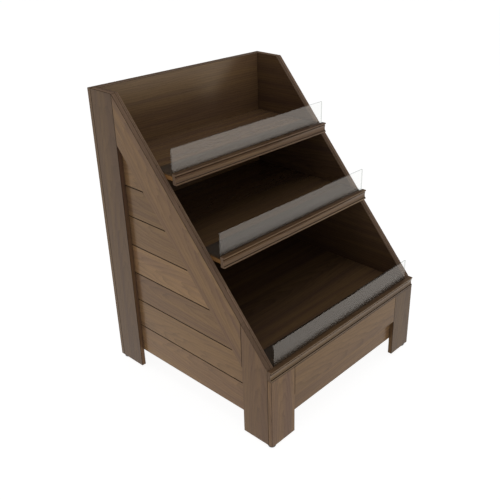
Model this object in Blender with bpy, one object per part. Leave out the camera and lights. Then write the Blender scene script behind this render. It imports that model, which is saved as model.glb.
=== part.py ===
"""Slanted produce display bin: a free-standing walnut bin with three stepped, level shelves.

Metres, +Z up. The front faces -Y, and the origin is on the floor under the middle of the bin.
Each side wall is three layers: a face frame outside, grooved planks behind it, a smooth liner inside.
"""

import math

import bmesh
import bpy
from mathutils import Vector

# Overall sizes. Heights with no other word are measured up from the bottoms of the legs.
WIDTH = 0.9144
DEPTH = 0.9144
CABINET_HEIGHT = 1.195
PANEL_LIFT = 0.0762

# Boards
FRAME_T = 0.019
BOARD_W = 0.127
PLANK_T = 0.006
LINER_T = 0.006
PANEL_T = 0.0125
EASED_EDGE = 0.0012
THIN_EASED_EDGE = 0.0004
JOINT = 0.0003
NEAR = 0.00001

# Planks of the side walls. The top plank is ripped to a share of a full one.
PLANK_COUNT = 9
TOP_PLANK_SHARE = 0.81
GROOVE = 0.0025
LAP = 0.006

# Shelves, by the height of their top faces
TOP_SHELF_Z = 0.938
MIDDLE_SHELF_Z = 0.685
DECK_Z = 0.330
TOP_SHELF_DEPTH = 0.3857
MIDDLE_SHELF_DEPTH = 0.6153
SHELF_T = 0.018
CLEAT_T = 0.019
CLEAT_H = 0.030
CLEAT_SETBACK = 0.030

# Scotia moulding on the front edge of each shelf
MOULDING_T = 0.019
MOULDING_H = 0.0415
MOULDING_RISE = 0.010
UPPER_LIP = 0.0055
QUIRK_H = 0.0050
QUIRK_DEPTH = 0.0058
UPPER_STEP = 0.0030
LOWER_STEP = 0.0030
LOWER_LIP = 0.0070
COVE_DEPTH = 0.0024
LIP_ROUND = 0.0008

# Clear guard, bent to an L whose foot lies on the shelf
GUARD_T = 0.006
GUARD_HEIGHT = 0.1016
GUARD_FOOT = 0.1016
GUARD_BEND = 0.006
GUARD_CORNER = 0.002
GUARD_END_CLEARANCE = 0.0045

# Levelling feet, whose studs go up into the corners of the legs
FOOT_HEIGHT = 0.014
FOOT_RADIUS = 0.0155
FOOT_ROUND = 0.006
FOOT_RIM = 0.001
FOOT_INSET = 0.020
STUD_RADIUS = 0.004
STUD_LENGTH = 0.045
STUD_CHAMFER = 0.001
STUD_CLEARANCE = 0.0004
BORE_END_CLEARANCE = 0.002
BLOCK_SIDE = 0.045
BLOCK_CHAMFER = 0.012
ROUND_STEPS = 24
ARC_STEPS = 8

# Places that follow from the sizes
FRONT = -DEPTH / 2
BACK = DEPTH / 2
SIDE = WIDTH / 2
LEG_Z = FOOT_HEIGHT
TOP_Z = LEG_Z + CABINET_HEIGHT
PANEL_Z = LEG_Z + PANEL_LIFT
PLANK_OUTER = SIDE - FRAME_T - JOINT
LINER_OUTER = PLANK_OUTER - PLANK_T - JOINT
INNER = LINER_OUTER - LINER_T
INFILL_FRONT = FRONT + FRAME_T + JOINT
INFILL_BACK = BACK - FRAME_T - JOINT
BACK_INNER = INFILL_BACK - PANEL_T
FRONT_STILE_END = FRONT + FRAME_T + BOARD_W
REAR_STILE_START = BACK - FRAME_T - BOARD_W
RAIL_END = SIDE - BOARD_W - JOINT
SHELF_END = INNER - JOINT
PLANK_PITCH = (CABINET_HEIGHT - PANEL_LIFT) / (PLANK_COUNT - 1 + TOP_PLANK_SHARE)

# The slanted front line of the sides, from the top of the deck's moulding to the top of the rear stile
SLANT_LOW = Vector((0, FRONT + FRAME_T, LEG_Z + DECK_Z + MOULDING_RISE))
SLANT_HIGH = Vector((0, REAR_STILE_START, TOP_Z))
SLANT = (SLANT_HIGH - SLANT_LOW).normalized()
SLANT_OUT = Vector((0, -SLANT.z, SLANT.y))


def slant_z(y):
    return SLANT_LOW.z + (y - SLANT_LOW.y) * SLANT.z / SLANT.y


def slant_y(z):
    return SLANT_LOW.y + (z - SLANT_LOW.z) * SLANT.y / SLANT.z


def finish(name, hex_colour, roughness, metallic=0.0, transmission=0.0):
    material = bpy.data.materials.new(name)
    material.use_nodes = True
    shader = material.node_tree.nodes["Principled BSDF"]
    srgb = [int(hex_colour[i : i + 2], 16) / 255 for i in (0, 2, 4)]
    linear = [c / 12.92 if c <= 0.04045 else ((c + 0.055) / 1.055) ** 2.4 for c in srgb]
    shader.inputs["Base Color"].default_value = (*linear, 1)
    shader.inputs["Roughness"].default_value = roughness
    shader.inputs["Metallic"].default_value = metallic
    shader.inputs["Transmission Weight"].default_value = transmission
    return material


def add_object(name, bm, material):
    bmesh.ops.recalc_face_normals(bm, faces=bm.faces)
    mesh = bpy.data.meshes.new(name)
    bm.to_mesh(mesh)
    bm.free()
    obj = bpy.data.objects.new(name, mesh)
    bpy.context.scene.collection.objects.link(obj)
    if material:
        mesh.materials.append(material)
    return obj


def prism(outline, place, start, end):
    """A bmesh of a flat outline pushed from start to end. place(u, v, along) gives a corner's point."""
    bm = bmesh.new()
    rings = [[bm.verts.new(place(u, v, along)) for u, v in outline] for along in (start, end)]
    bm.faces.new(rings[0])
    bm.faces.new(rings[1])
    count = len(outline)
    for i in range(count):
        j = (i + 1) % count
        bm.faces.new((rings[0][i], rings[0][j], rings[1][j], rings[1][i]))
    return bm


def cut_to_slant(bm):
    """Saws off what stands in front of the slanted line, and closes the cut."""
    everything = [*bm.verts, *bm.edges, *bm.faces]
    sawn = bmesh.ops.bisect_plane(
        bm, geom=everything, plane_co=SLANT_LOW, plane_no=SLANT_OUT, clear_outer=True
    )
    edges = [e for e in sawn["geom_cut"] if isinstance(e, bmesh.types.BMEdge)]
    if edges:
        bmesh.ops.contextual_create(bm, geom=edges)


def ease_cut(bm, faces_x):
    """Takes the arrises off a slanted cut, where it meets the faces at these x."""
    arrises = []
    for edge in bm.edges:
        first, second = (v.co for v in edge.verts)
        on_cut = all(abs((p - SLANT_LOW).dot(SLANT_OUT)) < NEAR for p in (first, second))
        if on_cut and any(abs(first.x - x) < NEAR and abs(second.x - x) < NEAR for x in faces_x):
            arrises.append(edge)
    if arrises:
        bmesh.ops.bevel(bm, geom=arrises, offset=THIN_EASED_EDGE, segments=1, affect="EDGES")


def ease_edges(obj, width=EASED_EDGE):
    bevel = obj.modifiers.new("eased edges", "BEVEL")
    bevel.width = width
    bevel.segments = 1
    bevel.limit_method = "ANGLE"
    return obj


def board(name, material, x, y, z):
    """A straight board with eased edges. x, y and z are its (low, high) faces."""
    outline = [(x[0], y[0]), (x[1], y[0]), (x[1], y[1]), (x[0], y[1])]
    return ease_edges(add_object(name, prism(outline, lambda u, v, w: (u, v, w), *z), material))


def side_layer(outline, sign, outer, thickness):
    """A bmesh of an upright sheet in a side wall, from a (y, z) outline."""
    return prism(outline, lambda y, z, x: (x, y, z), sign * (outer - thickness), sign * outer)


def arc(centre, radii, start, end, steps):
    """Points of an elliptic arc in degrees, both ends included."""
    angles = [math.radians(start + (end - start) * i / steps) for i in range(steps + 1)]
    return [(centre[0] + radii[0] * math.cos(a), centre[1] + radii[1] * math.sin(a)) for a in angles]


for old in list(bpy.data.objects):
    bpy.data.objects.remove(old, do_unlink=True)

walnut_frame = finish("walnut veneer, frame boards", "65544A", 0.38)
walnut_plank = finish("walnut veneer, planks", "6E5A48", 0.38)
walnut_inside = finish("walnut veneer, inside faces", "4A3A2E", 0.42)
walnut_shelf = finish("walnut veneer, shelves", "4C3A2C", 0.40)
walnut_moulding = finish("walnut, moulded solid", "6A5846", 0.38)
raw_wood = finish("poplar, stained brown", "5A4632", 0.70)
acrylic = finish("acrylic, clear", "F4F7F7", 0.05, transmission=1.0)
nylon = finish("nylon, dark grey", "3A3B3D", 0.55)

# Side walls: face frame boards, lapped planks with grooves between them, and the liner
side_outline = [
    (INFILL_FRONT, PANEL_Z),
    (INFILL_BACK, PANEL_Z),
    (INFILL_BACK, TOP_Z),
    (slant_y(TOP_Z), TOP_Z),
    (INFILL_FRONT, slant_z(INFILL_FRONT)),
]
rail_drop = BOARD_W / SLANT.y
rail_ends = (FRONT_STILE_END + JOINT, REAR_STILE_START - JOINT)
rail_outline = [(y, slant_z(y) - rail_drop) for y in rail_ends] + [(y, slant_z(y)) for y in reversed(rail_ends)]
plank_half = PLANK_T / 2
groove = min(GROOVE, 0.7 * plank_half)


def plank_outline(number):
    """A plank's section as (depth behind its outer face, height): a lap on top, a rebate below, eased corners."""
    low = PANEL_Z + number * PLANK_PITCH
    high = min(low + PLANK_PITCH, TOP_Z)
    slack = JOINT / 2
    if number == 0:
        bottom = [(0, low), (PLANK_T, low)]
    else:
        bottom = [
            (0, low + slack + groove),
            (groove, low + slack),
            (plank_half - slack, low + slack),
            (plank_half - slack, low + LAP + JOINT),
            (PLANK_T, low + LAP + JOINT),
        ]
    if number == PLANK_COUNT - 1:
        return bottom + [(PLANK_T, TOP_Z), (0, TOP_Z)]
    top = [
        (PLANK_T, high + LAP),
        (plank_half + slack, high + LAP),
        (plank_half + slack, high - slack),
        (groove, high - slack),
        (0, high - slack - groove),
    ]
    return bottom + top


for side, sign in (("left", -1), ("right", 1)):
    frame_x = sorted((sign * SIDE, sign * (SIDE - FRAME_T)))
    board(
        f"{side}_rear_stile", walnut_frame, frame_x, (REAR_STILE_START, INFILL_BACK), (LEG_Z, TOP_Z)
    )
    stile_outline = [(INFILL_FRONT, LEG_Z), (FRONT_STILE_END, LEG_Z), (FRONT_STILE_END, TOP_Z), (INFILL_FRONT, TOP_Z)]
    stile = side_layer(stile_outline, sign, SIDE, FRAME_T)
    cut_to_slant(stile)
    ease_edges(add_object(f"{side}_front_stile", stile, walnut_frame))
    rail = side_layer(rail_outline, sign, SIDE, FRAME_T)
    ease_edges(add_object(f"{side}_slant_rail", rail, walnut_frame))
    liner = side_layer(side_outline, sign, LINER_OUTER, LINER_T)
    ease_edges(add_object(f"{side}_liner", liner, walnut_inside), THIN_EASED_EDGE)
    for number in range(PLANK_COUNT):
        plank = prism(
            plank_outline(number),
            lambda depth, z, y: (sign * (PLANK_OUTER - depth), y, z),
            INFILL_FRONT,
            INFILL_BACK,
        )
        cut_to_slant(plank)
        ease_cut(plank, (sign * PLANK_OUTER, sign * (PLANK_OUTER - PLANK_T)))
        add_object(f"{side}_plank_{number + 1}", plank, walnut_plank)

# Front: two stiles under the deck's moulding, a rail between them and a recessed panel behind
front_y = (FRONT, FRONT + FRAME_T)
moulding_foot = SLANT_LOW.z - MOULDING_H
front_top = moulding_foot - JOINT
board("front_left_stile", walnut_frame, (-SIDE, BOARD_W - SIDE), front_y, (LEG_Z, front_top))
board("front_right_stile", walnut_frame, (SIDE - BOARD_W, SIDE), front_y, (LEG_Z, front_top))
board("front_rail", walnut_frame, (-RAIL_END, RAIL_END), front_y, (front_top - BOARD_W, front_top))
deck_under = LEG_Z + DECK_Z - SHELF_T
board(
    "front_panel",
    walnut_plank,
    (-SHELF_END, SHELF_END),
    (INFILL_FRONT, INFILL_FRONT + PANEL_T),
    (PANEL_Z, deck_under - JOINT),
)

# Back: two full-height stiles, a rail at the top and one at the bottom, and the panel in front of them
back_y = (BACK - FRAME_T, BACK)
board("back_left_stile", walnut_frame, (-SIDE, BOARD_W - SIDE), back_y, (LEG_Z, TOP_Z))
board("back_right_stile", walnut_frame, (SIDE - BOARD_W, SIDE), back_y, (LEG_Z, TOP_Z))
board("back_top_rail", walnut_frame, (-RAIL_END, RAIL_END), back_y, (TOP_Z - BOARD_W, TOP_Z))
board("back_bottom_rail", walnut_frame, (-RAIL_END, RAIL_END), back_y, (PANEL_Z, PANEL_Z + BOARD_W))
board("back_panel", walnut_inside, (-SHELF_END, SHELF_END), (BACK_INNER, INFILL_BACK), (PANEL_Z, TOP_Z))


def hollow(low, high, depth, steps):
    """Points of a circular hollow, this deep behind the line from low to high, both ends included."""
    low, high = Vector(low), Vector(high)
    half = (high - low).length / 2
    along = (high - low).normalized()
    out = Vector((along.y, -along.x))
    radius = (half * half + depth * depth) / (2 * depth)
    centre = (low + high) / 2 + (radius - depth) * out
    reach = math.asin(half / radius)
    turns = [reach * (2 * i / steps - 1) for i in range(steps + 1)]
    return [tuple(centre + radius * (math.sin(a) * along - math.cos(a) * out)) for a in turns]


def moulding_outline():
    """The scotia's section as (distance in front of its back face, height above its foot)."""
    rounds = (LIP_ROUND, LIP_ROUND)
    far = MOULDING_T - LIP_ROUND
    upper_low = MOULDING_H - UPPER_LIP
    lower_lip = arc((far, LIP_ROUND), rounds, -90, 0, 3) + arc((far, LOWER_LIP - LIP_ROUND), rounds, 0, 90, 3)
    cove_low = (MOULDING_T - LOWER_STEP, LOWER_LIP)
    cove_high = (MOULDING_T - UPPER_STEP, upper_low - QUIRK_H)
    cove = hollow(cove_low, cove_high, COVE_DEPTH, 2 * ARC_STEPS)
    quirk_back = MOULDING_T - QUIRK_DEPTH
    quirk = [(quirk_back, upper_low - QUIRK_H), (quirk_back, upper_low)]
    upper_lip = arc((far, upper_low + LIP_ROUND), rounds, -90, 0, 3)
    upper_lip += arc((far, MOULDING_H - LIP_ROUND), rounds, 0, 90, 3)
    return [(0, 0)] + lower_lip + cove + quirk + upper_lip + [(0, MOULDING_H)]


def guard_outline():
    """The bent sheet's section as (distance behind its front face, height above the shelf)."""
    outer = GUARD_BEND + GUARD_T
    centre = (outer, outer)
    heel = arc(centre, (outer, outer), 180, 270, ARC_STEPS)
    inside = arc(centre, (GUARD_BEND, GUARD_BEND), 270, 180, ARC_STEPS)
    foot_end = [(GUARD_FOOT, 0), (GUARD_FOOT, GUARD_T)]
    return [(0, GUARD_HEIGHT)] + heel + foot_end + inside + [(GUARD_T, GUARD_HEIGHT)]


def add_guard(name, y, z):
    half = SHELF_END + JOINT - GUARD_END_CLEARANCE
    bm = prism(guard_outline(), lambda back, up, x: (x, back, up), -half, half)
    corners = [
        e
        for e in bm.edges
        if all(abs(v.co.z - GUARD_HEIGHT) < JOINT for v in e.verts)
        and abs(e.verts[0].co.x - e.verts[1].co.x) < JOINT
    ]
    bmesh.ops.bevel(bm, geom=corners, offset=GUARD_CORNER, segments=5, profile=0.5, affect="EDGES")
    guard = add_object(name, bm, acrylic)
    guard.location = (0, y, z)


# Shelves, each with its cleats, its moulding and its guard
shelves = (
    ("top_shelf", "top", BACK_INNER - JOINT - TOP_SHELF_DEPTH, LEG_Z + TOP_SHELF_Z, SHELF_END),
    ("middle_shelf", "middle", BACK_INNER - JOINT - MIDDLE_SHELF_DEPTH, LEG_Z + MIDDLE_SHELF_Z, SHELF_END),
    ("bottom_deck", "bottom", INFILL_FRONT, LEG_Z + DECK_Z, SIDE),
)
for name, level, front, top, moulding_end in shelves:
    under = top - SHELF_T
    board(name, walnut_shelf, (-SHELF_END, SHELF_END), (front, BACK_INNER - JOINT), (under, top))
    foot = top + MOULDING_RISE - MOULDING_H
    bm = prism(
        moulding_outline(),
        lambda ahead, up, x: (x, front - JOINT - ahead, foot + up),
        -moulding_end,
        moulding_end,
    )
    add_object(f"{level}_moulding", bm, walnut_moulding)
    add_guard(f"{level}_guard", front + JOINT, top + JOINT)
    cleat_front = max(slant_y(under) + CLEAT_SETBACK, INFILL_FRONT + PANEL_T + JOINT)
    for side, sign in (("left", -1), ("right", 1)):
        cleat_x = sorted((sign * SHELF_END, sign * (SHELF_END - CLEAT_T)))
        cleat_z = (under - JOINT - CLEAT_H, under - JOINT)
        board(f"{level}_{side}_cleat", raw_wood, cleat_x, (cleat_front, BACK_INNER - JOINT), cleat_z)


def turned(outline):
    """A bmesh of a (radius, height) outline turned about Z. Both ends lie on the axis."""
    bm = bmesh.new()
    points = [bm.verts.new((radius, 0, height)) for radius, height in outline]
    edges = [bm.edges.new(pair) for pair in zip(points, points[1:])]
    bmesh.ops.spin(
        bm, geom=points + edges, cent=(0, 0, 0), axis=(0, 0, 1), angle=2 * math.pi, steps=ROUND_STEPS
    )
    bmesh.ops.remove_doubles(bm, verts=bm.verts, dist=1e-6)
    return bm


# Levelling feet, and the corner blocks that their studs are drilled into together with the stiles
pad_top = FOOT_HEIGHT - JOINT
stud_top = pad_top + STUD_LENGTH
foot_outline = [
    (0, 0),
    *arc((FOOT_RADIUS - FOOT_ROUND, FOOT_ROUND), (FOOT_ROUND, FOOT_ROUND), -90, 0, 5),
    (FOOT_RADIUS, pad_top - FOOT_RIM),
    (FOOT_RADIUS - FOOT_RIM, pad_top),
    (STUD_RADIUS, pad_top),
    (STUD_RADIUS, stud_top - STUD_CHAMFER),
    (STUD_RADIUS - STUD_CHAMFER, stud_top),
    (0, stud_top),
]
bore_radius = STUD_RADIUS + STUD_CLEARANCE
bore_outline = [
    (0, -FOOT_HEIGHT),
    (bore_radius, -FOOT_HEIGHT),
    (bore_radius, stud_top + BORE_END_CLEARANCE),
    (0, stud_top + BORE_END_CLEARANCE),
]
block_side = (FRAME_T + JOINT, FRAME_T + JOINT + BLOCK_SIDE)
corners = (
    ("front_left", -1, -1, ("front_left_stile", "left_front_stile")),
    ("front_right", 1, -1, ("front_right_stile", "right_front_stile")),
    ("back_left", -1, 1, ("back_left_stile", "left_rear_stile")),
    ("back_right", 1, 1, ("back_right_stile", "right_rear_stile")),
)
for corner, x_sign, y_sign, stiles in corners:
    place = (x_sign * (SIDE - FOOT_INSET), y_sign * (BACK - FOOT_INSET), 0)
    foot = add_object(f"{corner}_foot", turned(foot_outline), nylon)
    foot.location = place
    foot.data.shade_smooth()
    foot.data.set_sharp_from_angle(angle=math.radians(35))
    drill = add_object(f"{corner}_drill", turned(bore_outline), None)
    drill.location = place
    drill.hide_render = True
    drill.display_type = "WIRE"
    inner = block_side[1] - BLOCK_CHAMFER
    near, far = block_side
    block_outline = [(near, near), (far, near), (far, inner), (inner, far), (near, far)]
    bm = prism(
        block_outline,
        lambda across, along, z: (x_sign * (SIDE - across), y_sign * (BACK - along), z),
        LEG_Z,
        PANEL_Z - JOINT,
    )
    block = add_object(f"{corner}_block", bm, raw_wood)
    for piece in (block, *(bpy.data.objects[name] for name in stiles)):
        bore = piece.modifiers.new("bore for the stud", "BOOLEAN")
        bore.operation = "DIFFERENCE"
        bore.object = drill
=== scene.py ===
"""Looks of the slanted produce display bin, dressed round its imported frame. Metres, +Z up, front to -Y."""

import itertools
import math

import bmesh
import bpy
from mathutils import Matrix, Vector


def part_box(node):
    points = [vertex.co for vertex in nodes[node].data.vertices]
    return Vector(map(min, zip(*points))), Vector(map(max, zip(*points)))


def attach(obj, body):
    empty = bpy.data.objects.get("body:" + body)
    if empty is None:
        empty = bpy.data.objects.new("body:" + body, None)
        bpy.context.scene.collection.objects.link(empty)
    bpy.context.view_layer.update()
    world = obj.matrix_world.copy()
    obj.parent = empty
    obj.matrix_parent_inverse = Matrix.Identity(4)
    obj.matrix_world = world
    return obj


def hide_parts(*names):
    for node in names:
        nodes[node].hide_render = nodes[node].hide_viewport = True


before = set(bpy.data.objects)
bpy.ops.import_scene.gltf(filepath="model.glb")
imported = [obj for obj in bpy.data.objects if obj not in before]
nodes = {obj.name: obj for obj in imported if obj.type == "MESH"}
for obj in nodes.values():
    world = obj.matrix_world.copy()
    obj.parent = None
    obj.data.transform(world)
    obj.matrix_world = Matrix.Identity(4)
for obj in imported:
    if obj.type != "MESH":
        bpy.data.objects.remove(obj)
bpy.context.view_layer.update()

# Planks of the side walls
# Nine thin boards a side, faced with sliced walnut, lapped over each other with a V groove at every joint.
# They lie level behind the face frame, and each is a fresh sheet of veneer with its own figure and tone.
ALONG_X = Vector((1, 0, 0))
ALONG_Y = Vector((0, 1, 0))
ALONG_Z = Vector((0, 0, 1))
PLANKS = 9

# The slant of the sides, read from the two ends of the left rail's upper edge
NEAR = 0.002
rail_points = [v.co for v in nodes["left_slant_rail"].data.vertices]
rail_front = min(p.y for p in rail_points)
rail_rear = max(p.y for p in rail_points)
front_top = max((p for p in rail_points if p.y < rail_front + NEAR), key=lambda p: p.z)
rear_top = max((p for p in rail_points if p.y > rail_rear - NEAR), key=lambda p: p.z)
SLANT = Vector((0, rear_top.y - front_top.y, rear_top.z - front_top.z)).normalized()
SLANT_FACE = ALONG_X.cross(SLANT)

# Colours of the wood, tones of its cut faces, and a lacquer as its IOR and the tint of what it mirrors
HEARTWOOD = "70573C"
GREY_STREAK = "5B4537"
CUT_WOOD = "5A493D"
SIDE_LACQUER = (1.42, "FFC16A")
END_TONE = 1.5
STAINED_EDGE = 0.20
SAWN_SLANT = 1.57
SAWN_PLANK = {"left": 1.8, "right": 1.3}
# How dark the painted shadow line along a board's lower edge is
SHADOW_LINE_TONE = 0.5

# Patterns of the figure: length along the grain, width across it, and how finely they break up.
# Fibres of 3 mm and pores of 1 mm are coarser than real ones, so that they show
WANDER = (0.24, 0.050, 3.0)
FIBRE = (0.16, 0.0030, 3.0)
PORE = (0.022, 0.0010, 1.0)
STREAK = (0.80, 0.040, 2.0)
BROKEN_UP = 0.55

# What the patterns do: rings 9.5 mm apart that taper and wander, and how each darkens, greys or dulls
LOG_STEP = 1.37
RING = 0.0095
TAPER = 0.085
WANDER_REACH = 0.030
LATE_WOOD_EDGE = 2.5
EARLY_TONE = 1.06
LATE_DROP = 0.22
LATE_GREY = 0.06
STREAK_MIDDLE = 0.5
STREAK_SPREAD = 0.36
FIBRE_TONE = {"From Min": 0.3, "From Max": 0.7, "To Min": 0.92, "To Max": 1.08}
FIBRE_GLOSS = {"From Min": 0.3, "From Max": 0.7, "To Min": 0.27, "To Max": 0.20}
PORE_TONE = {"From Min": 0.60, "From Max": 0.70, "To Min": 1.0, "To Max": 0.74}
PORE_RELIEF = {"Strength": 0.25, "Distance": 0.0003}
DRY_ROUGHNESS = 0.75

# How far a face's normal agrees with a direction: the cosine, and what it may differ by
SQUARE_ON = (1.0, 0.1)
LEANING = (0.70, 0.12)
fresh_cut = itertools.count(1)


def linear(hex_colour, tone=1.0):
    """An sRGB hex colour as linear red, green, blue and alpha, made lighter or darker by tone."""
    srgb = [int(hex_colour[i : i + 2], 16) / 255 for i in (0, 2, 4)]
    return [tone * (c / 12.92 if c <= 0.04045 else ((c + 0.055) / 1.055) ** 2.4) for c in srgb] + [1.0]


def add(tree, kind, sockets=(), **settings):
    """A new node with its settings, its input values and its links."""
    made = tree.nodes.new(kind)
    for name, value in settings.items():
        setattr(made, name, value)
    for name, value in dict(sockets).items():
        if isinstance(value, bpy.types.NodeSocket):
            tree.links.new(value, made.inputs[name])
        else:
            made.inputs[name].default_value = value
    return made


def streaks(tree, log, long, wide, detail):
    """Noise drawn out along the grain, in patches of about this length and width."""
    scale = (1 / long, 1 / wide, 1 / wide)
    drawn_out = add(tree, "ShaderNodeMapping", {"Vector": log, "Scale": scale})
    return add(
        tree,
        "ShaderNodeTexNoise",
        {"Vector": drawn_out.outputs[0], "Scale": 1.0, "Detail": detail, "Roughness": BROKEN_UP},
    ).outputs["Fac"]


def walnut(
    board,
    along,
    out,
    warmth=0.5,
    tone=1.0,
    heart=(0.0, 0.05),
    end_tone=END_TONE,
    lacquer=SIDE_LACQUER,
    sawn_tone=SAWN_SLANT,
    edge_tone=STAINED_EDGE,
    side_tone=1.0,
    painted_shadow_line=0.0,
    cut_wood=CUT_WOOD,
):
    """Sliced walnut veneer under satin lacquer. along is the way of the grain and out the way the face looks.

    The eye sees warm brown with greyer streaks, soft dark ring lines, short open pores and a broad, quiet
    shine. heart is where the middle of the log lies, across and below the board's middle. Near it the growth
    rings draw arches, and further off they run straight.

    Each kind of face takes stain and lacquer in its own way, lighter or darker than the veneer by its tone:
    end_tone is for the ends across the grain and for the upper and lower edges of a level board on edge,
    edge_tone for eased edges and grooves, which draw thin lines at the joints, sawn_tone for what is sawn to
    the slant, and side_tone for the long narrow faces. All but the last show wood of the colour cut_wood, and
    the first two stay dry. painted_shadow_line is how high a painted shadow line stands along the lower edge.
    """
    material = bpy.data.materials.new(f"walnut veneer, lacquered, {board}")
    material.use_nodes = True
    tree = material.node_tree
    shader = tree.nodes["Principled BSDF"]
    low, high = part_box(board)
    turn = Matrix((along, out.cross(along), out))
    cut_at = LOG_STEP * next(fresh_cut)
    middle = turn @ ((low + high) / 2)
    place = Vector((cut_at, *heart)) - middle
    coordinates = add(tree, "ShaderNodeTexCoord").outputs["Object"]
    log = add(
        tree, "ShaderNodeMapping", {"Vector": coordinates, "Location": place, "Rotation": turn.to_euler()}
    ).outputs[0]

    # Growth rings: how far each point lies from the heart, which tapers along the log and wanders a little
    spot = add(tree, "ShaderNodeSeparateXYZ", {"Vector": log})
    run = add(tree, "ShaderNodeMath", {0: spot.outputs["X"], 1: cut_at}, operation="SUBTRACT")
    depth = add(
        tree, "ShaderNodeMath", {0: run.outputs[0], 1: TAPER, 2: spot.outputs["Z"]}, operation="MULTIPLY_ADD"
    )
    across = add(tree, "ShaderNodeCombineXYZ", {"X": spot.outputs["Y"], "Y": depth.outputs[0]})
    radius = add(tree, "ShaderNodeVectorMath", {0: across.outputs[0]}, operation="LENGTH").outputs["Value"]
    wander = streaks(tree, log, *WANDER)
    wandered = add(
        tree, "ShaderNodeMath", {0: wander, 1: WANDER_REACH, 2: radius}, operation="MULTIPLY_ADD"
    )
    rings = add(tree, "ShaderNodeMath", {0: wandered.outputs[0], 1: RING}, operation="DIVIDE")
    year = add(tree, "ShaderNodeMath", {0: rings.outputs[0]}, operation="FRACT")
    late_wood = add(
        tree, "ShaderNodeMath", {0: year.outputs[0], 1: LATE_WOOD_EDGE}, operation="POWER"
    ).outputs[0]
    ring_tone = add(
        tree, "ShaderNodeMath", {0: late_wood, 1: -LATE_DROP, 2: EARLY_TONE}, operation="MULTIPLY_ADD"
    )

    # Fibres and pores
    fibre = streaks(tree, log, *FIBRE)
    fibre_tone = add(tree, "ShaderNodeMapRange", {"Value": fibre, **FIBRE_TONE})
    pore = streaks(tree, log, *PORE)
    pore_tone = add(tree, "ShaderNodeMapRange", {"Value": pore, **PORE_TONE})
    shade = add(
        tree, "ShaderNodeMath", {0: ring_tone.outputs[0], 1: fibre_tone.outputs[0]}, operation="MULTIPLY"
    )
    shade = add(
        tree, "ShaderNodeMath", {0: shade.outputs[0], 1: pore_tone.outputs[0]}, operation="MULTIPLY"
    )

    # Kinds of face, by their normals. On a level board on edge, the ends are joined by what looks up or down
    normal = add(tree, "ShaderNodeNewGeometry").outputs["True Normal"]
    ends = along + ALONG_Z * (1 - abs(along.z) - abs(out.z))
    kinds = (
        (ends, SQUARE_ON, end_tone, "dry"),
        (out, LEANING, edge_tone, "dry"),
        (SLANT_FACE, SQUARE_ON, sawn_tone, "sawn"),
        (out.cross(along), SQUARE_ON, side_tone, "veneered"),
    )
    cut = 0.0
    dry = 0.0
    for axis, (about, reach), kind_tone, left in kinds:
        lean = add(tree, "ShaderNodeVectorMath", {0: normal, 1: axis}, operation="DOT_PRODUCT")
        lean = add(tree, "ShaderNodeMath", {0: lean.outputs["Value"]}, operation="ABSOLUTE")
        found = add(tree, "ShaderNodeMath", {0: lean.outputs[0], 1: about, 2: reach}, operation="COMPARE")
        taken = add(
            tree, "ShaderNodeMath", {0: found.outputs[0], 1: kind_tone - 1, 2: 1.0}, operation="MULTIPLY_ADD"
        )
        shade = add(tree, "ShaderNodeMath", {0: shade.outputs[0], 1: taken.outputs[0]}, operation="MULTIPLY")
        if left != "veneered":
            cut = add(tree, "ShaderNodeMath", {0: cut, 1: found.outputs[0]}, operation="MAXIMUM").outputs[0]
        if left == "dry":
            dry = add(tree, "ShaderNodeMath", {0: dry, 1: found.outputs[0]}, operation="MAXIMUM").outputs[0]

    # A painted shadow line along the lower edge, where shade would fall
    if painted_shadow_line:
        height = add(tree, "ShaderNodeSeparateXYZ", {"Vector": coordinates}).outputs["Z"]
        found = add(tree, "ShaderNodeMath", {0: height, 1: low.z + painted_shadow_line}, operation="LESS_THAN")
        taken = add(
            tree, "ShaderNodeMath", {0: found.outputs[0], 1: SHADOW_LINE_TONE - 1, 2: 1.0}, operation="MULTIPLY_ADD"
        )
        shade = add(tree, "ShaderNodeMath", {0: shade.outputs[0], 1: taken.outputs[0]}, operation="MULTIPLY")

    # Warm and greyer streaks, about 40 mm wide, and late wood that is greyer too
    streak = streaks(tree, log, *STREAK)
    greyed = add(tree, "ShaderNodeMath", {0: late_wood, 1: -LATE_GREY, 2: streak}, operation="MULTIPLY_ADD")
    greyest = STREAK_MIDDLE - STREAK_SPREAD * warmth
    warmest = STREAK_MIDDLE + STREAK_SPREAD * (1 - warmth)
    share = add(
        tree,
        "ShaderNodeMapRange",
        {"Value": greyed.outputs[0], "From Min": greyest, "From Max": warmest},
    )
    hue = add(
        tree,
        "ShaderNodeMix",
        {"Factor": share.outputs[0], "A": linear(GREY_STREAK, tone), "B": linear(HEARTWOOD, tone)},
        data_type="RGBA",
    )
    hue = add(
        tree,
        "ShaderNodeMix",
        {"Factor": cut, "A": hue.outputs["Result"], "B": linear(cut_wood, tone)},
        data_type="RGBA",
    )
    colour = add(
        tree, "ShaderNodeVectorMath", {0: hue.outputs["Result"], "Scale": shade.outputs[0]}, operation="SCALE"
    )
    tree.links.new(colour.outputs[0], shader.inputs["Base Color"])

    # Lacquer: a little duller between the fibres, dull where the wood stayed dry, and sunk over the pores
    gloss = add(tree, "ShaderNodeMapRange", {"Value": fibre, **FIBRE_GLOSS})
    roughened = add(
        tree, "ShaderNodeMath", {0: dry, 1: DRY_ROUGHNESS, 2: gloss.outputs[0]}, operation="MULTIPLY_ADD"
    )
    tree.links.new(roughened.outputs[0], shader.inputs["Roughness"])
    relief = add(tree, "ShaderNodeBump", {"Height": pore_tone.outputs[0], **PORE_RELIEF})
    tree.links.new(relief.outputs[0], shader.inputs["Normal"])
    ior, mirrored_tint = lacquer
    shader.inputs["IOR"].default_value = ior
    shader.inputs["Specular Tint"].default_value = linear(mirrored_tint)
    return material


def dress(name, material):
    """Gives a CAD node its finish."""
    nodes[name].data.materials.clear()
    nodes[name].data.materials.append(material)


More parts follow.
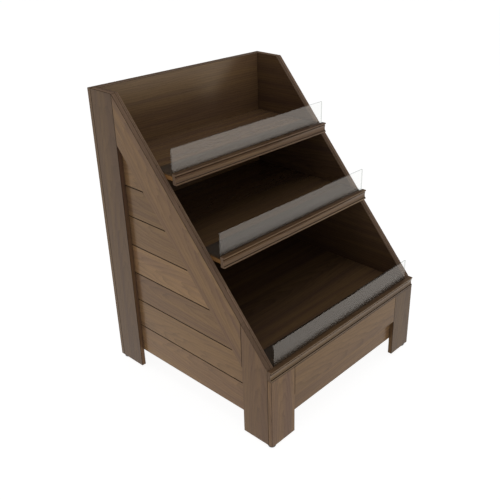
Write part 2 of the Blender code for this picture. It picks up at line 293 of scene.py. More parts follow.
# The figure of a board is its warmth, its tone and where the heart of its log lies
PLANK_WARMTH = (0.80, 0.85, 0.75, 0.90, 0.80, 0.72, 0.85, 0.78, 0.82)
PLANK_TONE = (1.42, 1.25, 1.18, 1.52, 1.12, 1.0, 1.22, 1.15, 1.15)
PLANK_HEART = ((0.035, 0.05), (-0.05, 0.08), (0.02, 0.03), (-0.02, 0.06), (0.06, 0.06))
sides = (("left", -1), ("right", 1))
for side, sign in sides:
    for number in range(PLANKS):
        plank = f"{side}_plank_{number + 1}"
        outward = sign * ALONG_X
        figure = (PLANK_WARMTH[number], PLANK_TONE[number], PLANK_HEART[number % len(PLANK_HEART)])
        dress(plank, walnut(plank, ALONG_Y, outward, *figure, sawn_tone=SAWN_PLANK[side]))

# Smooth linings of the side walls
# One thin walnut-faced sheet behind the planks of each side, cut to the same slant, so that produce
# meets no groove. Its grain runs level, front to back.
INNER_LACQUER = (1.55, "FFCA76")
LINING_FIGURE = (0.55, 0.85, (0.05, 0.12))
SAWN_LINING = {"left": 2.4, "right": 1.6}
for side, sign in sides:
    lining = f"{side}_liner"
    inward = -sign * ALONG_X
    sawn_tone = SAWN_LINING[side]
    finish = walnut(
        lining, ALONG_Y, inward, *LINING_FIGURE, lacquer=INNER_LACQUER, sawn_tone=sawn_tone
    )
    dress(lining, finish)

# Face frames of the side walls
# Veneered boards 127 mm wide: an upright rear stile, a short front stile and a rail that follows the
# slant between them. The grain of each runs along its own length, and the uprights are a greyer cut.
SOFT_ARRIS = 0.6
REAR_STILE = (0.38, 0.70, (0.03, 0.07))
REAR_STILE_END = 3.0
# Painted light: the rear stile's narrow front and back faces are drawn lighter, standing in for light
# reaching them
REAR_STILE_SIDE_PAINTED_LIGHT = 1.5
FRONT_STILE = (0.30, 1.06, (0.02, 0.03))
SLANT_RAIL = (0.70, 1.22, (0.05, 0.10))
for side, sign in sides:
    outward = sign * ALONG_X
    rear, front, rail = f"{side}_rear_stile", f"{side}_front_stile", f"{side}_slant_rail"
    dress(rear, walnut(rear, ALONG_Z, outward, *REAR_STILE, REAR_STILE_END, side_tone=REAR_STILE_SIDE_PAINTED_LIGHT))
    dress(front, walnut(front, ALONG_Z, outward, *FRONT_STILE, edge_tone=SOFT_ARRIS))
    dress(rail, walnut(rail, SLANT, outward, *SLANT_RAIL))

# Back: frame and panel
# Two full-height stiles and two rails of the same board, with a 12.5 mm veneered panel let in behind
# them. The panel's inner face is the back of all three bins, with a wide arched figure.
BACKWARD = ALONG_Y
FORWARD = -ALONG_Y
LEFT_STILE_END = 2.0
BACK_LACQUER = (1.60, "FFE6C2")
BACK_STILES = (
    ("back_left_stile", (0.85, 0.75, (-0.03, 0.06)), LEFT_STILE_END),
    ("back_right_stile", (0.40, 1.0, (0.04, 0.05)), END_TONE),
)
BACK_RAILS = (
    ("back_top_rail", (0.60, 1.0, (0.02, 0.06))),
    ("back_bottom_rail", (0.50, 1.0, (-0.04, 0.07))),
)
BACK_PANEL = (0.80, 1.35, (0.42, 0.05))
for stile, figure, end_tone in BACK_STILES:
    dress(stile, walnut(stile, ALONG_Z, BACKWARD, *figure, end_tone))
for rail, figure in BACK_RAILS:
    dress(rail, walnut(rail, ALONG_X, BACKWARD, *figure))
dress("back_panel", walnut("back_panel", ALONG_X, FORWARD, *BACK_PANEL, lacquer=BACK_LACQUER))

# Front: legs, rail and panel
# The front stiles make the legs with the side stiles. A level rail joins them under the deck's moulding,
# and a recessed panel closes the space behind and below it.
FRONT_LACQUER = (1.31, "FFC46A")
FRONT_STILES = (
    ("front_left_stile", (0.42, 1.38, (0.0, 0.03))),
    ("front_right_stile", (0.62, 0.74, (0.03, 0.06))),
)
# The rail's lower edge carries a painted shadow line this high
RAIL_SHADOW_LINE = 0.0014
FRONT_BOARDS = (
    ("front_rail", (0.90, 1.20, (0.05, 0.09)), RAIL_SHADOW_LINE),
    ("front_panel", (0.88, 1.26, (-0.06, 0.10)), 0.0),
)
for stile, figure in FRONT_STILES:
    dress(stile, walnut(stile, ALONG_Z, FORWARD, *figure, lacquer=FRONT_LACQUER, edge_tone=SOFT_ARRIS))
for board, figure, painted_shadow_line in FRONT_BOARDS:
    dress(board, walnut(board, ALONG_X, FORWARD, *figure, lacquer=FRONT_LACQUER, painted_shadow_line=painted_shadow_line))

# Shelves and deck
# Veneered boards 18 mm thick with the grain from side to side, which rest on cleats between the linings.
# Their cut faces show cut wood, drawn lighter and more orange as painted light where light falls on the ends.
SHELF_CUT_PAINTED_LIGHT = "7F5B38"
SHELF_END_TONE = 1.3
SHELVES = (
    ("top_shelf", (0.58, 0.95, (0.05, 0.07))),
    ("middle_shelf", (0.55, 0.70, (-0.08, 0.06))),
    ("bottom_deck", (0.60, 0.85, (0.10, 0.05))),
)
for board, figure in SHELVES:
    finish = walnut(
        board, ALONG_X, ALONG_Z, *figure, SHELF_END_TONE, INNER_LACQUER, cut_wood=SHELF_CUT_PAINTED_LIGHT
    )
    dress(board, finish)

# Cleats and corner blocks
# Plain poplar strips under the shelf ends, and blocks in the four legs, stained brown and left unlacquered.
# They are planed, so they show straight pale grain under the stain.
STAIN = "4A3828"
PALE_GRAIN = "6A533A"
POPLAR_GRAIN = (0.20, 0.004, 3.0)
POPLAR_SHARE = {"From Min": 0.35, "From Max": 0.65}
POPLAR_RELIEF = {"Strength": 0.2, "Distance": 0.0003}
POPLAR_ROUGHNESS = 0.72
levels = ("top", "middle", "bottom")
corners = ("front_left", "front_right", "back_left", "back_right")


def stained_poplar(piece, along, out):
    """Planed poplar, brush stained: the soft grain takes more colour than the hard, and it has no shine."""
    material = bpy.data.materials.new(f"poplar, stained, {piece}")
    material.use_nodes = True
    tree = material.node_tree
    shader = tree.nodes["Principled BSDF"]
    turn = Matrix((along, out.cross(along), out))
    place = (LOG_STEP * next(fresh_cut), 0, 0)
    coordinates = add(tree, "ShaderNodeTexCoord").outputs["Object"]
    log = add(
        tree, "ShaderNodeMapping", {"Vector": coordinates, "Location": place, "Rotation": turn.to_euler()}
    ).outputs[0]
    grain = streaks(tree, log, *POPLAR_GRAIN)
    share = add(tree, "ShaderNodeMapRange", {"Value": grain, **POPLAR_SHARE})
    hue = add(
        tree,
        "ShaderNodeMix",
        {"Factor": share.outputs[0], "A": linear(STAIN), "B": linear(PALE_GRAIN)},
        data_type="RGBA",
    )
    tree.links.new(hue.outputs["Result"], shader.inputs["Base Color"])
    relief = add(tree, "ShaderNodeBump", {"Height": grain, **POPLAR_RELIEF})
    tree.links.new(relief.outputs[0], shader.inputs["Normal"])
    shader.inputs["Roughness"].default_value = POPLAR_ROUGHNESS
    return material


for level in levels:
    for side, sign in sides:
        cleat = f"{level}_{side}_cleat"
        dress(cleat, stained_poplar(cleat, ALONG_Y, -sign * ALONG_X))
for corner in corners:
    block = f"{corner}_block"
    dress(block, stained_poplar(block, ALONG_Z, ALONG_X))

# Screws of the cleats and blocks
# Zinc-plated countersunk wood screws with a cross recess, driven flush from inside, so only their heads show.
# One scattered head stands for each, turned to where the driver happened to stop.
HEAD_RADIUS = 0.004
HEAD_RISE = 0.0004
RECESS_REACH = 0.0022
RECESS_HALF = 0.0006
RECESS_DEPTH = 0.0016
RECESS_TAPER = 0.7
RECESS_ARM = ((RECESS_HALF, RECESS_HALF), (RECESS_REACH, RECESS_HALF), (RECESS_REACH, -RECESS_HALF))
HEAD_SIDES = 24
TURN_SEED = 4
SCREW_PITCH = 0.17
SCREW_END = 0.035
screw_spots = []
for level in levels:
    for side, sign in sides:
        low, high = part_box(f"{level}_{side}_cleat")
        inner_x = low.x if sign > 0 else high.x
        run = high.y - low.y - 2 * SCREW_END
        gaps = max(1, round(run / SCREW_PITCH))
        for step in range(gaps + 1):
            spot = Vector((inner_x, low.y + SCREW_END + run * step / gaps, (low.z + high.z) / 2))
            screw_spots.append((spot, -sign * ALONG_X))
BLOCK_SCREWS = (0.3, 0.7)
BLOCK_EDGE = 0.016
for corner in corners:
    low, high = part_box(f"{corner}_block")
    x_sign = -1 if "left" in corner else 1
    y_sign = -1 if "front" in corner else 1
    inner_x, outer_x = (low.x, high.x) if x_sign > 0 else (high.x, low.x)
    inner_y, outer_y = (low.y, high.y) if y_sign > 0 else (high.y, low.y)
    for share in BLOCK_SCREWS:
        height = low.z + share * (high.z - low.z)
        screw_spots.append((Vector((inner_x, outer_y - y_sign * BLOCK_EDGE, height)), -x_sign * ALONG_X))
        screw_spots.append((Vector((outer_x - x_sign * BLOCK_EDGE, inner_y, height)), -y_sign * ALONG_Y))

# Zinc plate is a pale grey metal with an uneven, rather dull shine. Its grit is drawn coarser than it is
ZINC = "B8B5AC"
ZINC_GRIT = 0.0008
ZINC_GLOSS = {"To Min": 0.28, "To Max": 0.48}
zinc = bpy.data.materials.new("zinc-plated steel")
zinc.use_nodes = True
zinc_shader = zinc.node_tree.nodes["Principled BSDF"]
zinc_place = add(zinc.node_tree, "ShaderNodeTexCoord").outputs["Object"]
zinc_grit = add(zinc.node_tree, "ShaderNodeTexNoise", {"Vector": zinc_place, "Scale": 1 / ZINC_GRIT})
zinc_gloss = add(zinc.node_tree, "ShaderNodeMapRange", {"Value": zinc_grit.outputs["Fac"], **ZINC_GLOSS})
zinc.node_tree.links.new(zinc_gloss.outputs[0], zinc_shader.inputs["Roughness"])
zinc_shader.inputs["Base Color"].default_value = linear(ZINC)
zinc_shader.inputs["Metallic"].default_value = 1.0

bm = bmesh.new()
bmesh.ops.create_circle(bm, cap_ends=False, radius=HEAD_RADIUS, segments=HEAD_SIDES)
cross = []
for quarter in range(4):
    turned = Matrix.Rotation(quarter * math.pi / 2, 3, "Z")
    cross += [bm.verts.new(turned @ Vector((x, y, HEAD_RISE))) for x, y in RECESS_ARM]
cross.sort(key=lambda v: round(math.atan2(v.co.y, v.co.x), 4))
cross_edges = [bm.edges.new((a, b)) for a, b in zip(cross, cross[1:] + cross[:1])]
rim_edges = [e for e in bm.edges if e not in cross_edges]
bmesh.ops.bridge_loops(bm, edges=rim_edges + cross_edges)
recess_z = HEAD_RISE - RECESS_DEPTH
floor_of_recess = [bm.verts.new((v.co.x * RECESS_TAPER, v.co.y * RECESS_TAPER, recess_z)) for v in cross]
for i in range(len(cross)):
    j = (i + 1) % len(cross)
    bm.faces.new((cross[i], cross[j], floor_of_recess[j], floor_of_recess[i]))
bm.faces.new(floor_of_recess)
bmesh.ops.recalc_face_normals(bm, faces=bm.faces)
head_mesh = bpy.data.meshes.new("screw_head")
bm.to_mesh(head_mesh)
bm.free()
head = bpy.data.objects.new("screw_head", head_mesh)

screws_mesh = bpy.data.meshes.new("assembly_screws")
screws_mesh.from_pydata([spot for spot, facing in screw_spots], [], [])
facing_of = screws_mesh.attributes.new("facing", "FLOAT_VECTOR", "POINT")
for value, (spot, facing) in zip(facing_of.data, screw_spots):
    value.vector = facing
screws = bpy.data.objects.new("assembly_screws", screws_mesh)
bpy.context.scene.collection.objects.link(screws)
scatter = bpy.data.node_groups.new("driven screws", "GeometryNodeTree")
scatter.interface.new_socket("Geometry", in_out="INPUT", socket_type="NodeSocketGeometry")
head_input = scatter.interface.new_socket("Head", in_out="INPUT", socket_type="NodeSocketObject")
finish_input = scatter.interface.new_socket("Finish", in_out="INPUT", socket_type="NodeSocketMaterial")
seed_input = scatter.interface.new_socket("Seed", in_out="INPUT", socket_type="NodeSocketInt")
scatter.interface.new_socket("Geometry", in_out="OUTPUT", socket_type="NodeSocketGeometry")
given = add(scatter, "NodeGroupInput")
looks_out = add(scatter, "GeometryNodeInputNamedAttribute", {"Name": "facing"}, data_type="FLOAT_VECTOR")
turn_out = add(scatter, "FunctionNodeAlignRotationToVector", {"Vector": looks_out.outputs[0]}, axis="Z")
stop_angle = add(scatter, "FunctionNodeRandomValue", {"Seed": given.outputs["Seed"], "Max": 2 * math.pi})
driver_turn = add(
    scatter, "FunctionNodeAxisAngleToRotation", {"Axis": (0, 0, 1), "Angle": stop_angle.outputs["Value"]}
)
stopped = add(
    scatter,
    "FunctionNodeRotateRotation",
    {"Rotation": turn_out.outputs[0], "Rotate By": driver_turn.outputs[0]},
    rotation_space="LOCAL",
)
one_head = add(scatter, "GeometryNodeObjectInfo", {"Object": given.outputs["Head"]})
placed = add(
    scatter,
    "GeometryNodeInstanceOnPoints",
    {
        "Points": given.outputs["Geometry"],
        "Instance": one_head.outputs["Geometry"],
        "Rotation": stopped.outputs[0],
    },
)
real = add(scatter, "GeometryNodeRealizeInstances", {"Geometry": placed.outputs[0]})
finished = add(
    scatter,
    "GeometryNodeSetMaterial",
    {"Geometry": real.outputs[0], "Material": given.outputs["Finish"]},
)
add(scatter, "NodeGroupOutput", {"Geometry": finished.outputs[0]})
drive = screws.modifiers.new("driven screws", "NODES")
drive.node_group = scatter
drive[head_input.identifier] = head
drive[finish_input.identifier] = zinc
drive[seed_input.identifier] = TURN_SEED
graph = bpy.context.evaluated_depsgraph_get()
screws.data = bpy.data.meshes.new_from_object(screws.evaluated_get(graph))
screws.modifiers.clear()
bpy.data.objects.remove(head)
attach(screws, "cabinet")

# Scotia mouldings
# Solid walnut, run through a moulder: a rounded lip with a square quirk under it, a hollow cove and a second
# lip below. Each is glued to the front edge of its shelf and stands a little above it. Shade is painted into
# the quirk and the cove's lower corner, and on the bottom one as a shadow line along its joint with the rail.
UPPER_LIP = 0.0055
QUIRK_H = 0.0050
QUIRK_DEPTH = 0.0058
UPPER_STEP = 0.0030
LOWER_STEP = 0.0030
LOWER_LIP = 0.0070
COVE_DEPTH = 0.0024
LIP_ROUND = 0.0008
JOINT_LINE = 0.0020
COVE_CORNER = 0.0015
COVE_STEPS = 28
ROUND_STEPS = 4
SMOOTH_ANGLE = math.radians(32)


def arc(centre, radii, start, end, steps):
    """Points of an elliptic arc in degrees, both ends included."""
    angles = [math.radians(start + (end - start) * i / steps) for i in range(steps + 1)]
    return [(centre[0] + radii[0] * math.cos(a), centre[1] + radii[1] * math.sin(a)) for a in angles]


def hollow(low, high, depth, steps):
    """Points of a circular hollow, this deep behind the line from low to high, both ends included."""
    low, high = Vector(low), Vector(high)
    half = (high - low).length / 2
    along = (high - low).normalized()
    out = Vector((along.y, -along.x))
    radius = (half * half + depth * depth) / (2 * depth)
    centre = (low + high) / 2 + (radius - depth) * out
    reach = math.asin(half / radius)
    turns = [reach * (2 * i / steps - 1) for i in range(steps + 1)]
    return [tuple(centre + radius * (math.sin(a) * along - math.cos(a) * out)) for a in turns]


def moulding_section(thick, high):
    """The moulding's section as (distance in front of its back face, height above its foot)."""
    rounds = (LIP_ROUND, LIP_ROUND)
    far = thick - LIP_ROUND
    upper_low = high - UPPER_LIP
    lower_lip = arc((far, LIP_ROUND), rounds, -90, 0, ROUND_STEPS) + [(thick, JOINT_LINE)]
    lower_lip += arc((far, LOWER_LIP - LIP_ROUND), rounds, 0, 90, ROUND_STEPS)
    quirk_low = upper_low - QUIRK_H
    cove = hollow((thick - LOWER_STEP, LOWER_LIP), (thick - UPPER_STEP, quirk_low), COVE_DEPTH, COVE_STEPS)
    quirk = [(thick - QUIRK_DEPTH, quirk_low), (thick - QUIRK_DEPTH, upper_low)]
    upper_lip = arc((far, upper_low + LIP_ROUND), rounds, -90, 0, ROUND_STEPS)
    upper_lip += arc((far, high - LIP_ROUND), rounds, 0, 90, ROUND_STEPS)
    return [(0, 0)] + lower_lip + cove + quirk + upper_lip + [(0, high)]


def extruded(name, outline, low_x, high_x):
    """A piece with a (y, z) outline pushed from low_x to high_x."""
    bm = bmesh.new()
    rings = [[bm.verts.new((x, y, z)) for y, z in outline] for x in (low_x, high_x)]
    for ring in rings:
        bm.faces.new(ring)
    for i in range(len(outline)):
        j = (i + 1) % len(outline)
        bm.faces.new((rings[0][i], rings[0][j], rings[1][j], rings[1][i]))
    bmesh.ops.recalc_face_normals(bm, faces=bm.faces)
    mesh = bpy.data.meshes.new(name)
    bm.to_mesh(mesh)
    bm.free()
    mesh.shade_smooth()
    mesh.set_sharp_from_angle(angle=SMOOTH_ANGLE)
    piece = bpy.data.objects.new(name, mesh)
    bpy.context.scene.collection.objects.link(piece)
    return piece


# Painted shade: in the quirks, corners and rail joint the wood is drawn darker, darkest on ledges facing up
# or down
QUIRK_WARMTH = 0.55
QUIRK_SHADE_TONE = 0.45
LEDGE_SHADE_TONE = 0.2

# Warmth, tone and the front face's own tone of the top, middle and bottom moulding
MOULDING_WARMTH = (0.15, 0.30, 0.60)
MOULDING_TONE = (1.12, 1.22, 1.13)
MOULDING_FACE = (1.16, 1.0, 0.80)
MOULDING_END = 1.3
PLAIN = 1.0
MOULDING_LACQUER = (1.48, "FFD692")
HEART_STEP = 0.03
HEART_DEPTH = 0.05
# The material of the painted shade in the quirks, the cove's corners and the rail joint
painted_shade_ledge = walnut(
    "bottom_moulding",
    ALONG_X,
    FORWARD,
    QUIRK_WARMTH,
    QUIRK_SHADE_TONE,
    end_tone=LEDGE_SHADE_TONE,
    lacquer=FRONT_LACQUER,
    edge_tone=PLAIN,
)
painted_shade_ledge.name = "walnut, stain gathered in the quirks"
for number, level in enumerate(levels):
    node = f"{level}_moulding"
    low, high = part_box(node)
    section = moulding_section(high.y - low.y, high.z - low.z)
    outline = [(high.y - ahead, low.z + up) for ahead, up in section]
    piece = extruded(f"{level}_scotia", outline, low.x, high.x)
    heart = (HEART_STEP * number, HEART_DEPTH)
    piece.data.materials.append(
        walnut(
            node,
            ALONG_X,
            ALONG_Z,
            MOULDING_WARMTH[number],
            MOULDING_TONE[number],
            heart,
            MOULDING_END,
            MOULDING_LACQUER,
            edge_tone=PLAIN,
            side_tone=MOULDING_FACE[number],
        )
    )
    piece.data.materials.append(painted_shade_ledge)
    for face in piece.data.polygons:
        across, up = face.center.y - low.y, face.center.z - low.z
        in_hollow = LIP_ROUND < across < QUIRK_DEPTH + LIP_ROUND
        quirk_top = high.z - low.z - UPPER_LIP
        in_quirk = quirk_top - QUIRK_H + LIP_ROUND < up < quirk_top
        in_corner = LOWER_LIP - LIP_ROUND < up < LOWER_LIP + COVE_CORNER
        at_joint = level == "bottom" and up < JOINT_LINE and across < LIP_ROUND
        # These faces take the painted shade: the quirk, the cove's lower corner and the bottom moulding's
        # rail joint
        if at_joint or (in_hollow and (in_quirk or in_corner)):
            face.material_index = 1
    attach(piece, "cabinet")
    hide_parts(node)

# Clear guards
# Cast acrylic sheet, heated and bent to an L: the foot lies on the shelf behind the moulding and the
# upright keeps the produce in. Its edges are flame polished, and it lifts straight out.
SHEET = 0.006
BEND = 0.006
TOP_CORNER = 0.002
CORNER_STEPS = 8
CORNER_PROFILE = 0.5
ARRIS = 0.0005
BEND_STEPS = 14
END_LEAN = 0.1
TOP_LEAN = 0.5
FLAT_LEAN = 0.95
HOLD = 0.001

# The finish: how much it mirrors, how hazy it is and how far up the heat went, the painted shade of its foot
# and its tints
BOTH_FACES_IOR = (2.02, 1.86, 1.70)
ONE_FACE_IOR = 1.55
HAZE = 0.12
BEND_HAZE = 0.42
HEATED = 0.060
MIRRORED_TINT = "FFF6EC"
FOOT_PAINTED_SHADE = 0.42
PAINTED_SHADE_GREY = "393735"
GUARD_TINT = "FBFCFC"
EDGE_TINT = "D9DCDB"
LIGHT_PASSED = "B8BABA"
ALL_LIGHT = "FFFFFF"


def clear_acrylic(name, tint, ior, light_passed, bend=None, painted_shade_share=0.0):
    """Cast acrylic, seen as a thin clear sheet: it mirrors the room by angle and hardly bends what is behind.

    Its front face mirrors as much as the two faces of a sheet do together, so its IOR is above acrylic's
    1.49 and is matched guard by guard. Heating for the bend left the sheet hazier there, so what it mirrors
    blurs from the height bend upwards, over the heated strip. painted_shade_share is the share of the surface
    drawn as a dark grey matt sheet: painted shade of what lies under it and a painted grey reflection. To all
    light but what the camera sees, it passes the colour light_passed.
    """
    material = bpy.data.materials.new(name)
    material.use_nodes = True
    tree = material.node_tree
    tree.nodes.remove(tree.nodes["Principled BSDF"])
    mirrored = add(tree, "ShaderNodeFresnel", {"IOR": ior}).outputs[0]
    behind = add(tree, "ShaderNodeNewGeometry").outputs["Backfacing"]
    in_front = add(tree, "ShaderNodeMath", {0: 1.0, 1: behind}, operation="SUBTRACT")
    share = add(tree, "ShaderNodeMath", {0: mirrored, 1: in_front.outputs[0]}, operation="MULTIPLY")
    clear = add(tree, "ShaderNodeBsdfTransparent", {"Color": linear(tint)})
    gloss = add(tree, "ShaderNodeBsdfGlossy", {"Color": linear(MIRRORED_TINT), "Roughness": HAZE})
    if bend is not None:
        coordinates = add(tree, "ShaderNodeTexCoord").outputs["Object"]
        height = add(tree, "ShaderNodeSeparateXYZ", {"Vector": coordinates}).outputs["Z"]
        heated = {"From Min": bend, "From Max": bend + HEATED, "To Min": BEND_HAZE, "To Max": HAZE}
        haze = add(tree, "ShaderNodeMapRange", {"Value": height, **heated})
        tree.links.new(haze.outputs[0], gloss.inputs["Roughness"])
    sheet = add(tree, "ShaderNodeMixShader", {0: share.outputs[0], 1: clear.outputs[0], 2: gloss.outputs[0]})
    # Painted shade and painted reflection: a dark grey matt share stands in for shade under the foot and the
    # grey it mirrors
    if painted_shade_share:
        grey_shade_sheet = add(tree, "ShaderNodeBsdfDiffuse", {"Color": linear(PAINTED_SHADE_GREY)})
        sheet = add(tree, "ShaderNodeMixShader", {0: painted_shade_share, 1: sheet.outputs[0], 2: grey_shade_sheet.outputs[0]})
    rays = add(tree, "ShaderNodeLightPath")
    dulled = add(tree, "ShaderNodeBsdfTransparent", {"Color": linear(light_passed)})
    surface = add(
        tree,
        "ShaderNodeMixShader",
        {0: rays.outputs["Is Camera Ray"], 1: dulled.outputs[0], 2: sheet.outputs[0]},
    )
    tree.links.new(surface.outputs[0], tree.nodes["Material Output"].inputs["Surface"])
    return material


acrylic_edge = clear_acrylic("acrylic, flame-polished edge", EDGE_TINT, ONE_FACE_IOR, ALL_LIGHT)
acrylic_bend = clear_acrylic("acrylic, bent clear", GUARD_TINT, ONE_FACE_IOR, ALL_LIGHT)
# The foot lying on the shelf takes a share of painted shade and painted grey reflection
acrylic_foot = clear_acrylic(
    "acrylic, cast clear, foot", GUARD_TINT, ONE_FACE_IOR, ALL_LIGHT, painted_shade_share=FOOT_PAINTED_SHADE
)
for number, level in enumerate(levels):
    node = f"{level}_guard"
    low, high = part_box(node)
    outer = BEND + SHEET
    centre = (low.y + outer, low.z + outer)
    heel = arc(centre, (outer, outer), 180, 270, BEND_STEPS)
    inside = arc(centre, (BEND, BEND), 270, 180, BEND_STEPS)
    foot_end = [(high.y, low.z), (high.y, low.z + SHEET)]
    # A narrow flat strip above the bend keeps the rounded shading out of the upright
    flat = centre[1] + HOLD
    upright_front = [(low.y, high.z), (low.y, flat)]
    upright_rear = [(low.y + SHEET, flat), (low.y + SHEET, high.z)]
    outline = upright_front + heel + foot_end + inside + upright_rear
    piece = extruded(f"{level}_guard_sheet", outline, low.x, high.x)
    bm = bmesh.new()
    bm.from_mesh(piece.data)
    upper_corners = [
        e
        for e in bm.edges
        if all(v.co.z > high.z - ARRIS for v in e.verts) and abs(e.verts[0].co.x - e.verts[1].co.x) < ARRIS
    ]
    bmesh.ops.bevel(
        bm,
        geom=upper_corners,
        offset=TOP_CORNER,
        segments=CORNER_STEPS,
        profile=CORNER_PROFILE,
        affect="EDGES",
    )
    bm.normal_update()
    for face in bm.faces:
        middle = face.calc_center_median()
        at_end = abs(face.normal.x) > END_LEAN
        at_top = middle.z > high.z - TOP_CORNER and face.normal.z > TOP_LEAN
        at_foot = middle.y > high.y - ARRIS
        if at_end or at_top or at_foot:
            face.material_index = 1
        elif middle.z >= flat:
            face.material_index = 0
        elif abs(face.normal.z) > FLAT_LEAN:
            face.material_index = 2
        else:
            face.material_index = 3
    bm.to_mesh(piece.data)
    bm.free()
    acrylic_upright = clear_acrylic(
        f"acrylic, cast clear, {level} guard", GUARD_TINT, BOTH_FACES_IOR[number], LIGHT_PASSED, flat
    )
    for finish in (acrylic_upright, acrylic_edge, acrylic_foot, acrylic_bend):
        piece.data.materials.append(finish)
    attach(piece, f"{level}_guard_sheet")
    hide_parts(node)

# Levelling feet
# Moulded nylon glides on zinc-plated M8 studs, which screw up into the corners of the legs.
# The thread shows when a foot is wound out.
PAD_TOP = 0.0137
PAD_ROUND = 0.006
PAD_RIM = 0.001
PAD_STEPS = 8
STUD_RADIUS = 0.004
THREAD_PITCH = 0.00125
THREAD_DEPTH = 0.0007
THREAD_SIDES = 24
STEPS_A_PITCH = 4

# Nylon from a spark-eroded mould is dark grey with a soft sheen. Its grain is drawn coarser than it is
NYLON = "404244"
NYLON_TONES = (0.9, 1.15)
NYLON_RELIEF = {"Strength": 0.3, "Distance": 0.0002}
NYLON_ROUGHNESS = 0.5
NYLON_IOR = 1.53
SPARK_GRAIN = 0.0006
GRAIN_DETAIL = 2.0
nylon = bpy.data.materials.new("nylon, moulded, dark grey")
nylon.use_nodes = True
tree = nylon.node_tree
shader = tree.nodes["Principled BSDF"]
coordinates = add(tree, "ShaderNodeTexCoord").outputs["Object"]
grain = add(
    tree, "ShaderNodeTexNoise", {"Vector": coordinates, "Scale": 1 / SPARK_GRAIN, "Detail": GRAIN_DETAIL}
)
darker, lighter = [linear(NYLON, tone) for tone in NYLON_TONES]
tint = add(
    tree,
    "ShaderNodeMix",
    {"Factor": grain.outputs["Fac"], "A": darker, "B": lighter},
    data_type="RGBA",
)
tree.links.new(tint.outputs["Result"], shader.inputs["Base Color"])
relief = add(tree, "ShaderNodeBump", {"Height": grain.outputs["Fac"], **NYLON_RELIEF})
tree.links.new(relief.outputs[0], shader.inputs["Normal"])
shader.inputs["Roughness"].default_value = NYLON_ROUGHNESS
shader.inputs["IOR"].default_value = NYLON_IOR


def ring_of(bm, centre, radius_at, height):
    """One turn of points round a foot's axis. radius_at gives the radius for a share of the turn."""
    points = []
    for i in range(THREAD_SIDES):
        turn = i / THREAD_SIDES
        angle = 2 * math.pi * turn
        radius = radius_at(turn)
        x = centre.x + radius * math.cos(angle)
        y = centre.y + radius * math.sin(angle)
        points.append(bm.verts.new((x, y, height)))
    return points


for corner in corners:
    node = f"{corner}_foot"
    low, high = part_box(node)
    centre = (low + high) / 2
    pad_radius = (high.x - low.x) / 2
    pad = arc((pad_radius - PAD_ROUND, PAD_ROUND), (PAD_ROUND, PAD_ROUND), -90, 0, PAD_STEPS)
    pad += [(pad_radius, PAD_TOP - PAD_RIM), (pad_radius - PAD_RIM, PAD_TOP), (STUD_RADIUS, PAD_TOP)]
    bm = bmesh.new()
    rings = [ring_of(bm, centre, lambda turn: radius, low.z + height) for radius, height in pad]
    nylon_rings = len(rings)
    stud_steps = int((high.z - low.z - PAD_TOP) / THREAD_PITCH * STEPS_A_PITCH)
    for step in range(1, stud_steps + 1):
        pitches = step / STEPS_A_PITCH
        fade = min(1.0, (stud_steps - step) / STEPS_A_PITCH)

        def thread_radius(turn):
            crest = abs((pitches - turn) % 1.0 - 0.5) * 2
            return STUD_RADIUS - THREAD_DEPTH * (1 - fade * crest)

        rings.append(ring_of(bm, centre, thread_radius, low.z + PAD_TOP + pitches * THREAD_PITCH))
    for number, (below, above) in enumerate(zip(rings, rings[1:])):
        for i in range(THREAD_SIDES):
            j = (i + 1) % THREAD_SIDES
            face = bm.faces.new((below[i], below[j], above[j], above[i]))
            face.material_index = int(number >= nylon_rings - 1)
    bm.faces.new(rings[0])
    bm.faces.new(rings[-1]).material_index = 1
    bmesh.ops.recalc_face_normals(bm, faces=bm.faces)
    mesh = bpy.data.meshes.new(f"{corner}_glide")
    bm.to_mesh(mesh)
    bm.free()
    mesh.shade_smooth()
    mesh.set_sharp_from_angle(angle=SMOOTH_ANGLE)
    glide = bpy.data.objects.new(f"{corner}_glide", mesh)
    bpy.context.scene.collection.objects.link(glide)
    mesh.materials.append(nylon)
    mesh.materials.append(zinc)
    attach(glide, f"{corner}_leveller")
    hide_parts(node)

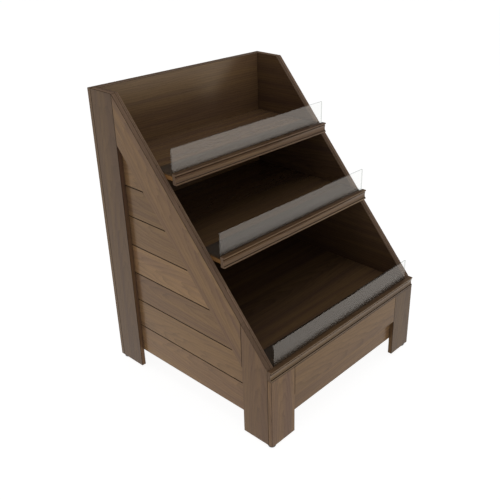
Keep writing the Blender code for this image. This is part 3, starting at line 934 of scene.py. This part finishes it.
# Studio
# A wide white floor that glows softly, one large softbox overhead and a dim room, so that the lacquer
# mirrors the floor and the undersides are lit from below. The floor keeps a faint shadow.
FLOOR_HALF = 40.0
FLOOR_GLOW = 0.93
FLOOR_PAINT = "909090"
scene = bpy.context.scene
floor_mesh = bpy.data.meshes.new("studio_floor")
floor_corners = [(x * FLOOR_HALF, y * FLOOR_HALF, 0) for x, y in ((-1, -1), (1, -1), (1, 1), (-1, 1))]
floor_mesh.from_pydata(floor_corners, [], [(0, 1, 2, 3)])
floor = bpy.data.objects.new("studio_floor", floor_mesh)
scene.collection.objects.link(floor)
paint = bpy.data.materials.new("floor, white, lit from within")
paint.use_nodes = True
tree = paint.node_tree
tree.nodes.remove(tree.nodes["Principled BSDF"])
glow = add(tree, "ShaderNodeEmission", {"Strength": FLOOR_GLOW})
matt = add(tree, "ShaderNodeBsdfDiffuse", {"Color": linear(FLOOR_PAINT)})
surface = add(tree, "ShaderNodeAddShader", {0: glow.outputs[0], 1: matt.outputs[0]})
tree.links.new(surface.outputs[0], tree.nodes["Material Output"].inputs["Surface"])
floor_mesh.materials.append(paint)

SOFTBOX_SIDE = 3.0
SOFTBOX_PLACE = (0, 0, 4.5)
SOFTBOX_POWER = 30
softbox = bpy.data.lights.new("overhead softbox", "AREA")
softbox.size = SOFTBOX_SIDE
softbox.energy = SOFTBOX_POWER
holder = bpy.data.objects.new("overhead softbox", softbox)
holder.location = SOFTBOX_PLACE
scene.collection.objects.link(holder)

ROOM = {"From Min": 0.0, "From Max": 1.0, "To Min": 0.25, "To Max": 0.35}
ROOM_WHITE = "FFFFFF"
world = bpy.data.worlds.new("studio")
world.use_nodes = True
scene.world = world
tree = world.node_tree
backdrop = tree.nodes["Background"]
direction = add(tree, "ShaderNodeTexCoord").outputs["Generated"]
height = add(tree, "ShaderNodeSeparateXYZ", {"Vector": direction}).outputs["Z"]
room = add(tree, "ShaderNodeMapRange", {"Value": height, **ROOM})
backdrop.inputs["Color"].default_value = linear(ROOM_WHITE)
tree.links.new(room.outputs[0], backdrop.inputs["Strength"])

CAMERA_PLACE = (-1.885, -1.7927, 1.8351)
CAMERA_TURN = (63.14, 0, -48.80)
LENS = 49.75
SENSOR = 36
SHIFT = (-0.0794, -0.0038)
camera_data = bpy.data.cameras.new("camera")
camera_data.lens = LENS
camera_data.sensor_width = SENSOR
camera_data.shift_x, camera_data.shift_y = SHIFT
camera = bpy.data.objects.new("camera", camera_data)
camera.location = CAMERA_PLACE
camera.rotation_euler = [math.radians(a) for a in CAMERA_TURN]
scene.collection.objects.link(camera)
scene.camera = camera
scene.view_settings.view_transform = "Standard"
